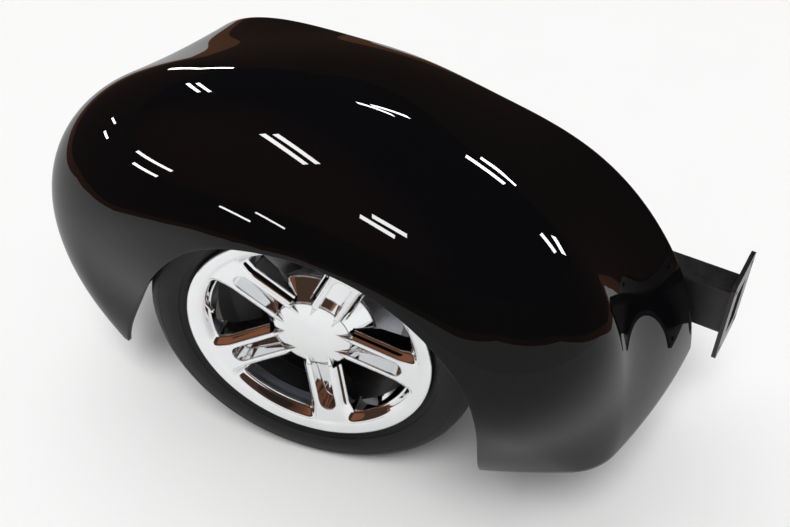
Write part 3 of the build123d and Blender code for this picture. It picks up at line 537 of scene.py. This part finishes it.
zinc = finishes["upper_shaft"]

# Screws that hold the apron to the fender's hanging flange
SEAM_SCREWS, SEAM_SCREW_SIZE = 11, 6.0
SEAM_FIRST_ROW, SEAM_LAST_ROW = 12, ROWS - 40
SEAM_SCREW_RISE = 0.45
screws = []
for row in np.linspace(SEAM_FIRST_ROW, SEAM_LAST_ROW, SEAM_SCREWS).astype(int):
    lower, upper = skin[row, -1], skin[row, -2]
    place = lower + SEAM_SCREW_RISE * (upper - lower)
    screws.append(hex_screw(place, (0, 1, 0), SEAM_SCREW_SIZE))
group("seam_screws", screws, zinc, "chassis")

# Flanks that roll each wheel window's edge down into it, from the fins and round the ring.
# WINDOW_TURN is the first window's middle, in degrees from rearward towards down.
WINDOWS, WINDOW_TURN = 5, 44.0
FIN_EDGE, FIN_FLARE = 26.0, 7.0
WINDOW_RADIUS, FLARE_RUN, CAP_RADIUS = 206.0, 40.0, 73.7
CAP_SEAM_DEPTH, SPOKE_SLOPE = 24.0, 0.138
CAP_GAP = 2.0
CORNER_RUN, CORNER_SHRINK, CORNER_LEAST = 15.0, 0.7, 4.0

# The flank's section: distance into the window from its edge, and drop from the spoke's face.
# A last row runs straight back from it to FLANK_BACK behind the rim's outer plane.
FLANK = [(-1.4, -0.15), (0.0, 0.1), (1.6, 0.9), (3.4, 2.6), (6.0, 6.4), (8.6, 10.8), (9.8, 12.6),
         (11.2, 13.2), (12.4, 14.2), (12.8, 16.0)]
FLANK_BACK = 60.0


def bend(start, corner, end, samples):
    """Points of the curve from start to end that a corner pulls."""
    share = np.linspace(0, 1, samples)[:, None]
    return (1 - share) ** 2 * start + 2 * share * (1 - share) * corner + share ** 2 * end


def window_path(inset):
    """One window's edge moved inwards: out along a fin, round the ring and back, as flat points."""
    half = math.pi / WINDOWS
    out = np.array([math.cos(half), -math.sin(half)])
    across = np.array([math.sin(half), math.cos(half)])
    inner = (CAP_RADIUS + CAP_GAP) * out + (FIN_EDGE + inset) * across
    knee = (WINDOW_RADIUS - FLARE_RUN) * out + (FIN_EDGE + inset) * across
    reach = WINDOW_RADIUS - inset
    flare = FIN_EDGE + FIN_FLARE + inset
    tip = math.sqrt(reach ** 2 - flare ** 2) * out + flare * across
    run = max(CORNER_RUN - CORNER_SHRINK * inset, CORNER_LEAST)
    before = tip + run * unit(knee - tip)
    turn = math.atan2(tip[1], tip[0])
    arc_turns = np.linspace(turn + run / reach, -turn - run / reach, 18)
    ring = reach * np.stack([np.cos(arc_turns), np.sin(arc_turns)], axis=1)
    side = np.vstack([
        np.linspace(inner, knee, 10)[:-1], np.linspace(knee, before, 6)[:-1],
        bend(before, tip, ring[0], 8)])
    return np.vstack([side, ring[1:-1], side[::-1] * (1, -1)])


def window_flank(turn):
    """One window's flank, as points in datum millimetres and faces."""
    angle = math.radians(turn)
    rows = []
    for inset, drop in FLANK + [(FLANK[-1][0], None)]:
        flat = window_path(inset)
        depth = np.full(len(flat), FLANK_BACK)
        if drop is not None:
            depth = CAP_SEAM_DEPTH - SPOKE_SLOPE * (np.hypot(*flat.T) - CAP_RADIUS) + drop
        rearward = flat[:, 0] * math.cos(angle) - flat[:, 1] * math.sin(angle)
        down = flat[:, 0] * math.sin(angle) + flat[:, 1] * math.cos(angle)
        rows.append(on_wheel(rearward, depth, -down))
    return np.concatenate(rows), grid_faces(len(rows), len(rows[0]))


flanks = [window_flank(WINDOW_TURN + number * 360 / WINDOWS) for number in range(WINDOWS)]
group("window_flanks", flanks, chrome("flank_chrome", 0.001), "wheel", smooth=True)

# Screws that hold the upper pivot shaft to the tower
SHAFT_AT = (-51.8, 417.6, 461.0)
SHAFT_SCREW_OFFSET, SHAFT_SCREW_SIZE = 24.0, 8.0
screws = []
for side in (-1, 1):
    place = (SHAFT_AT[0] + side * SHAFT_SCREW_OFFSET, *SHAFT_AT[1:])
    screws.append(hex_screw(place, (0, -1, 0), SHAFT_SCREW_SIZE))
group("shaft_screws", screws, zinc, "chassis")

# Headlamp: the bulb on its base, seen through the lens, and the dark ring that seats the lens
LAMP_TURN, LAMP_RADIUS = math.radians(74.0), 88.0
LAMP_OUT = np.array([-math.sin(LAMP_TURN), 0, math.cos(LAMP_TURN)])
BULB = [(-98, 0.2), (-98, 13), (-84, 13), (-82, 8), (-72, 8), (-71, 6.4), (-48, 6.4), (-43, 5),
        (-40.5, 2.5), (-40, 0.2)]
SEAL = [(-2.2, LAMP_RADIUS - 4.2), (-0.8, LAMP_RADIUS - 4.6), (-0.8, LAMP_RADIUS - 7),
        (-2.6, LAMP_RADIUS - 7.6)]
lamp_y, lamp_reach = FANS[-3].crown
lamp_at = np.array([0, lamp_y, FAN_HEIGHT]) + lamp_reach * LAMP_OUT
group("headlamp_bulb", [revolve(BULB, 32, lamp_at, LAMP_OUT)], finishes["headlamp_lens"],
      "chassis", smooth=True)
group("headlamp_seal", [revolve(SEAL, 96, lamp_at, LAMP_OUT)], finishes["tyre"],
      "chassis", smooth=True)

# Tyre: bead, ribbed sidewalls, shoulders and a ribbed, siped tread. Depth runs inboard from the
# rim's outer plane; SIDE is the outer sidewall from bead to shoulder, and the inner one mirrors it.
TYRE_RADIUS, TYRE_WIDTH = 312.7, 215.0
SIDE = [(33, 216.6), (20, 216.4), (14.5, 216.6), (13.2, 219), (13.2, 228.6), (10.4, 231.8),
        (8.2, 236), (5.0, 240.5), (2.0, 245.5), (1.2, 246.4), (-0.4, 246.8), (-2.2, 252),
        (-3.5, 258), (-4.0, 264), (-4.0, 267), (-3.7, 271), (-3.2, 276), (-2.2, 281), (-1.2, 285),
        (-1.6, 285.6), (-0.9, 287.6), (-0.2, 288), (1.4, 292.5), (4.0, 297.6), (7.0, 301.4),
        (10.4, 304.6)]
LINING = [(40, 222), (24, 240), (12, 262), (14, 284), (26, 298), (60, 303)]
SHOULDER_DEPTHS = (13.5, 17, 21, 25.5, 31, 38)
RIB_DEPTHS = (67, 76, 97, 107.5, 118, 139, 148)
CROWN_ARCH, SHOULDER_DROP = 1.2, 7.2

# Grooves round the tread, as the middle's depth and the width, and what shapes their edges
GROOVES = ((52, 9), (86, 10), (129, 10), (163, 9))
GROOVE_DEPTH, GROOVE_RIM, GROOVE_WALL, GROOVE_EDGE_DROP = 7.0, 0.6, 1.2, 0.5

# Sipes across it: the shares of one pitch at which columns stand, the first two of them cut in
SIPES, SIPE_DEPTH = 70, 5.0
SIPE_SHARES, SIPE_CUT = (0.0, 0.09, 0.13, 0.5, 0.96), (True, True, False, False, False)
SIPE_SWING, SIPE_WAVE = 0.55, 30.0
SIPED_FROM = 14.0
SWUNG_WITHIN = 12.0
TREAD_EDGE = math.radians(32)
TreadRow = namedtuple("TreadRow", "depth radius siped")


def crown_radius(depth):
    """Outside of the tread across its width: nearly flat, dropping at the shoulders."""
    off = abs(depth - TYRE_WIDTH / 2) / (TYRE_WIDTH / 2 - SIDE[-1][0])
    return TYRE_RADIUS - CROWN_ARCH * off ** 2 - SHOULDER_DROP * off ** 8


def tread_rows():
    """Rows across the tread, outer shoulder to inner, sunk in the grooves."""
    rows = [(depth, 0.0) for depth in SHOULDER_DEPTHS + RIB_DEPTHS]
    rows += [(TYRE_WIDTH - depth, 0.0) for depth in SHOULDER_DEPTHS]
    for middle, width in GROOVES:
        for side in (-1, 1):
            edge = middle + side * width / 2
            rows += [(edge + side * GROOVE_RIM, 0.0), (edge, GROOVE_EDGE_DROP),
                     (edge - side * GROOVE_WALL, GROOVE_DEPTH)]
    made = []
    for depth, drop in sorted(rows):
        siped = drop < GROOVE_DEPTH and SIPED_FROM < depth < TYRE_WIDTH - SIPED_FROM
        made.append(TreadRow(depth, crown_radius(depth) - drop, siped))
    return made


def tyre_mesh():
    """Points and faces of the whole casing, outside and lining, in datum millimetres."""
    rows = [TreadRow(depth, radius, False) for depth, radius in SIDE]
    rows += tread_rows()
    rows += [TreadRow(TYRE_WIDTH - depth, radius, False) for depth, radius in SIDE[::-1] + LINING]
    rows += [TreadRow(depth, radius, False) for depth, radius in LINING[::-1]]
    pitch = 2 * math.pi / SIPES
    angles = np.add.outer(np.arange(SIPES), SIPE_SHARES).ravel() * pitch
    cut = np.tile(SIPE_CUT, SIPES)
    points = []
    for row in rows:
        radius = row.radius - (SIPE_DEPTH * cut if row.siped else 0)
        turn = angles
        if crown_radius(row.depth) - row.radius < SWUNG_WITHIN:
            across = (row.depth - TYRE_WIDTH / 2) / SIPE_WAVE
            turn = angles + SIPE_SWING * pitch * math.sin(across)
        points.append(on_wheel(radius * np.sin(turn), row.depth, radius * np.cos(turn)))
    columns = len(angles)
    faces = grid_faces(len(rows), columns, closed=True)
    last = (len(rows) - 1) * columns
    faces += [(last + j, last + (j + 1) % columns, (j + 1) % columns, j) for j in range(columns)]
    return np.concatenate(points), faces


points, faces = tyre_mesh()
tyre = piece("tyre_casing", at(points), faces, finishes["tyre"], "wheel")
edge_split = tyre.modifiers.new("tread edges", "EDGE_SPLIT")
edge_split.split_angle = TREAD_EDGE
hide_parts("tyre")

# ---- stage: floor, world, lamps and camera

FLOOR_SIZE = 60.0
PALE = (0.86, 0.86, 0.85)

# Walls that only the paint and the metal mirror, as a polygon round the object: azimuth in
# degrees, distance of its foot, and height to which it is as pale as the floor. WALL_BAND and
# WALL_TOP say how far over that height the brown band and the dark reach, by the distance.
Wall = namedtuple("Wall", "azimuth reach pale")
WALLS = [
    Wall(-166, 2550, 0), Wall(-158, 1950, 0), Wall(-150, 1400, 0), Wall(-138, 1300, 0),
    Wall(-130, 1420, 0), Wall(-122, 1800, 0), Wall(-114, 3200, 0), Wall(-100, 4200, 300),
    Wall(-75, 4500, 1000), Wall(-50, 4500, 1750), Wall(-25, 4500, 1500), Wall(0, 4500, 1100),
    Wall(18, 3500, 300), Wall(34, 2600, 0), Wall(44, 1700, 0), Wall(54, 1500, 0),
    Wall(75, 2600, 0), Wall(100, 3300, 0), Wall(140, 3300, 0), Wall(172, 3000, 0),
]
WALL_BAND = 0.07
WALL_TOP = 0.55
WALL_COLORS = {
    "wall_pale": PALE, "wall_brown": (0.22, 0.1, 0.055), "wall_dark": (0.055, 0.032, 0.022),
}

# Ceiling tubes that only the fender's paint mirrors, as their two ends and their width
Tube = namedtuple("Tube", "start end width")
TUBES = [
    Tube((-2280, 880, 1700), (-2170, 560, 2020), 45),
    Tube((-2210, 900, 1800), (-2080, 590, 2120), 45),
    Tube((-1390, -540, 2660), (-880, -980, 2730), 105),
    Tube((-1270, -430, 2760), (-760, -820, 2840), 105),
    Tube((-1060, -440, 860), (-860, -660, 840), 25),
    Tube((-1040, -520, 750), (-900, -660, 720), 25),
    Tube((-640, -850, 660), (-520, -890, 640), 25),
    Tube((-530, -920, 800), (-410, -960, 780), 25),
    Tube((-740, 1770, 2320), (-430, 2040, 2110), 55),
    Tube((-630, 1940, 2170), (-380, 2240, 1800), 50),
    Tube((110, 2280, 1780), (540, 2320, 1660), 190),
    Tube((120, 2420, 1470), (520, 2440, 1340), 45),
    Tube((-270, -1620, 2460), (150, -1660, 2460), 130),
    Tube((-130, -1460, 2610), (310, -1460, 2620), 130),
    Tube((1480, 1880, 1820), (1770, 1820, 1600), 170),
    Tube((1410, 2160, 1400), (1690, 2020, 1290), 170),
    Tube((-1850, -160, 850), (-1810, -320, 850), 25),
    Tube((-1840, 40, 930), (-1820, -100, 970), 20),
    Tube((-2300, 1440, 800), (-2170, 1430, 1250), 50),
    Tube((-2170, 1430, 1250), (-1950, 1550, 1490), 60),
]
TUBE_RADIANCE = 58.0

# Key and fill suns: direction from the object, strength and angle in degrees
Sun = namedtuple("Sun", "name offset strength angle")
SUNS = [Sun("key", (0.6, -1.4, 3.0), 2.0, 30), Sun("fill", (-1.6, 0.6, 3.0), 0.9, 60)]
SUN_AIM = (0, 250, 500)

# What gloss mirrors overhead: nearly black, and brown towards WARM_SIDE
WARM_SIDE = (-0.5, -0.6, 0.62)
OVERHEAD = [(0.3, (0.022, 0.017, 0.015)), (0.65, (0.02, 0.014, 0.012)), (0.95, (0.2, 0.08, 0.042))]
DIFFUSE_FILL = (0.35, 0.35, 0.36)


def stage_piece(name, vertices, faces, finishes_used):
    """A mesh for the stage, attached to none of the part's bodies."""
    mesh = bpy.data.meshes.new(name)
    mesh.from_pydata([tuple(v) for v in vertices], [], faces)
    for finish in finishes_used:
        mesh.materials.append(finish)
    made = bpy.data.objects.new(name, mesh)
    bpy.context.scene.collection.objects.link(made)
    return made


def floor():
    """Pale floor, faintly mottled."""
    made, tree, shader = material("floor")
    texture = noise(tree, 1.5, 6, 0.6)
    tint(tree, shader, texture, 0.3, 0.7, (scaled(PALE, 0.985), PALE))
    shader.inputs["Roughness"].default_value = 0.5
    shader.inputs["Specular IOR Level"].default_value = 0.2
    half, low = FLOOR_SIZE / 2, float(at((0, 0, 0))[2])
    corners = [(-half, -half, low), (half, -half, low), (half, half, low), (-half, half, low)]
    stage_piece("floor", corners, [(0, 1, 2, 3)], [made])


def glow(name, color):
    """A finish that shows its own colour under any light."""
    made = bpy.data.materials.new(name)
    made.use_nodes = True
    tree = made.node_tree
    tree.nodes.remove(tree.nodes["Principled BSDF"])
    shader = tree.nodes.new("ShaderNodeEmission")
    shader.inputs["Color"].default_value = (*color, 1)
    tree.links.new(shader.outputs["Emission"], tree.nodes["Material Output"].inputs["Surface"])
    return made


def walls():
    """Ring of walls in bands: pale foot, brown band, then near black to the top."""
    points, faces, bands = [], [], []
    for wall in WALLS:
        turn = math.radians(wall.azimuth)
        foot = (wall.reach * math.cos(turn), wall.reach * math.sin(turn))
        band, top = wall.pale + WALL_BAND * wall.reach, wall.pale + WALL_TOP * wall.reach
        heights = (0, wall.pale, band, top)
        points += [(*foot, height) for height in heights]
    rows = len(WALL_COLORS) + 1
    for number in range(len(WALLS)):
        following = (number + 1) % len(WALLS)
        for band in range(len(WALL_COLORS)):
            a, b = number * rows + band, following * rows + band
            faces.append((a, b, b + 1, a + 1))
            bands.append(band)
    colors = [glow(name, color) for name, color in WALL_COLORS.items()]
    made = stage_piece("walls", at(points), faces, colors)
    for face, band in zip(made.data.polygons, bands):
        face.material_index = band
    made.visible_camera = made.visible_diffuse = False
    made.visible_shadow = made.visible_transmission = False


def world():
    """Dark overhead in the paint and chrome, pale behind the object, a grey fill elsewhere."""
    made = bpy.data.worlds.new("studio")
    made.use_nodes = True
    tree = made.node_tree
    background = tree.nodes["Background"]
    coordinates = tree.nodes.new("ShaderNodeTexCoord")
    facing = tree.nodes.new("ShaderNodeVectorMath")
    facing.operation = "DOT_PRODUCT"
    facing.inputs[1].default_value = WARM_SIDE
    tree.links.new(coordinates.outputs["Generated"], facing.inputs[0])
    shade = tree.nodes.new("ShaderNodeValToRGB")
    shade.color_ramp.elements.new(0.5)
    for element, (place, color) in zip(shade.color_ramp.elements, OVERHEAD):
        element.position = place
        element.color = (*color, 1)
    tree.links.new(facing.outputs["Value"], shade.inputs["Fac"])
    rays = tree.nodes.new("ShaderNodeLightPath")
    source = shade.outputs["Color"]
    for kind, color in (("Is Diffuse Ray", DIFFUSE_FILL), ("Is Transmission Ray", PALE),
                        ("Is Camera Ray", PALE)):
        mix = tree.nodes.new("ShaderNodeMix")
        mix.data_type = "RGBA"
        tree.links.new(rays.outputs[kind], mix.inputs["Factor"])
        tree.links.new(source, mix.inputs["A"])
        mix.inputs["B"].default_value = (*color, 1)
        source = mix.outputs["Result"]
    tree.links.new(source, background.inputs["Color"])
    bpy.context.scene.world = made


def light(name, kind, place, target, power):
    """A light that points at a target, in the part's frame."""
    data = bpy.data.lights.new(name, kind)
    data.energy = power
    made = bpy.data.objects.new(name, data)
    made.location = place
    made.rotation_euler = (Vector(target) - Vector(place)).to_track_quat("-Z", "Y").to_euler()
    bpy.context.scene.collection.objects.link(made)
    return made


def lamps():
    """Soft key and fill that light the surfaces, and the tubes that only the paint mirrors."""
    centre = at(SUN_AIM)
    for sun in SUNS:
        made = light(sun.name, "SUN", centre + sun.offset, centre, sun.strength)
        made.data.angle = math.radians(sun.angle)
        made.visible_glossy = False
    paint_only = bpy.data.collections.new("paint_only")
    paint_only.objects.link(fender)
    for number, tube in enumerate(TUBES):
        start, end = Vector(at(tube.start)), Vector(at(tube.end))
        length, width = (end - start).length, tube.width / 1000
        middle = (start + end) / 2
        power = TUBE_RADIANCE * math.pi * length * width
        made = light(f"tube_{number}", "AREA", middle, centre, power)
        made.data.shape = "RECTANGLE"
        made.data.size, made.data.size_y = length, width
        away = (middle - Vector(centre)).normalized()
        along = (end - start).normalized()
        across = away.cross(along).normalized()
        turn = Matrix((along, across, along.cross(across))).transposed()
        made.rotation_euler = turn.to_euler()
        made.visible_diffuse = made.visible_camera = False
        made.light_linking.receiver_collection = paint_only


def camera():
    """The camera that was fitted to the photo's rim, tyre and cap."""
    yaw, pitch, roll = CAMERA_YAW, CAMERA_PITCH, CAMERA_ROLL
    ahead = Vector((math.sin(yaw), math.cos(yaw), 0))
    right = Vector((math.cos(yaw), -math.sin(yaw), 0))
    up = Vector((0, 0, 1))
    forward = math.cos(pitch) * ahead - math.sin(pitch) * up
    down = -(math.sin(pitch) * ahead + math.cos(pitch) * up)
    across = math.cos(roll) * right + math.sin(roll) * down
    upward = math.sin(roll) * right - math.cos(roll) * down
    data = bpy.data.cameras.new("camera")
    data.sensor_width = SENSOR_WIDTH
    data.lens = SENSOR_WIDTH * FOCAL_PIXELS / FRAME_WIDTH
    made = bpy.data.objects.new("camera", data)
    turn = Matrix((across, upward, -forward)).transposed().to_4x4()
    made.matrix_world = Matrix.Translation(Vector(at(CAMERA_AT))) @ turn
    bpy.context.scene.collection.objects.link(made)
    bpy.context.scene.camera = made


floor()
walls()
world()
lamps()
camera()
bpy.context.scene.view_settings.view_transform = "Standard"
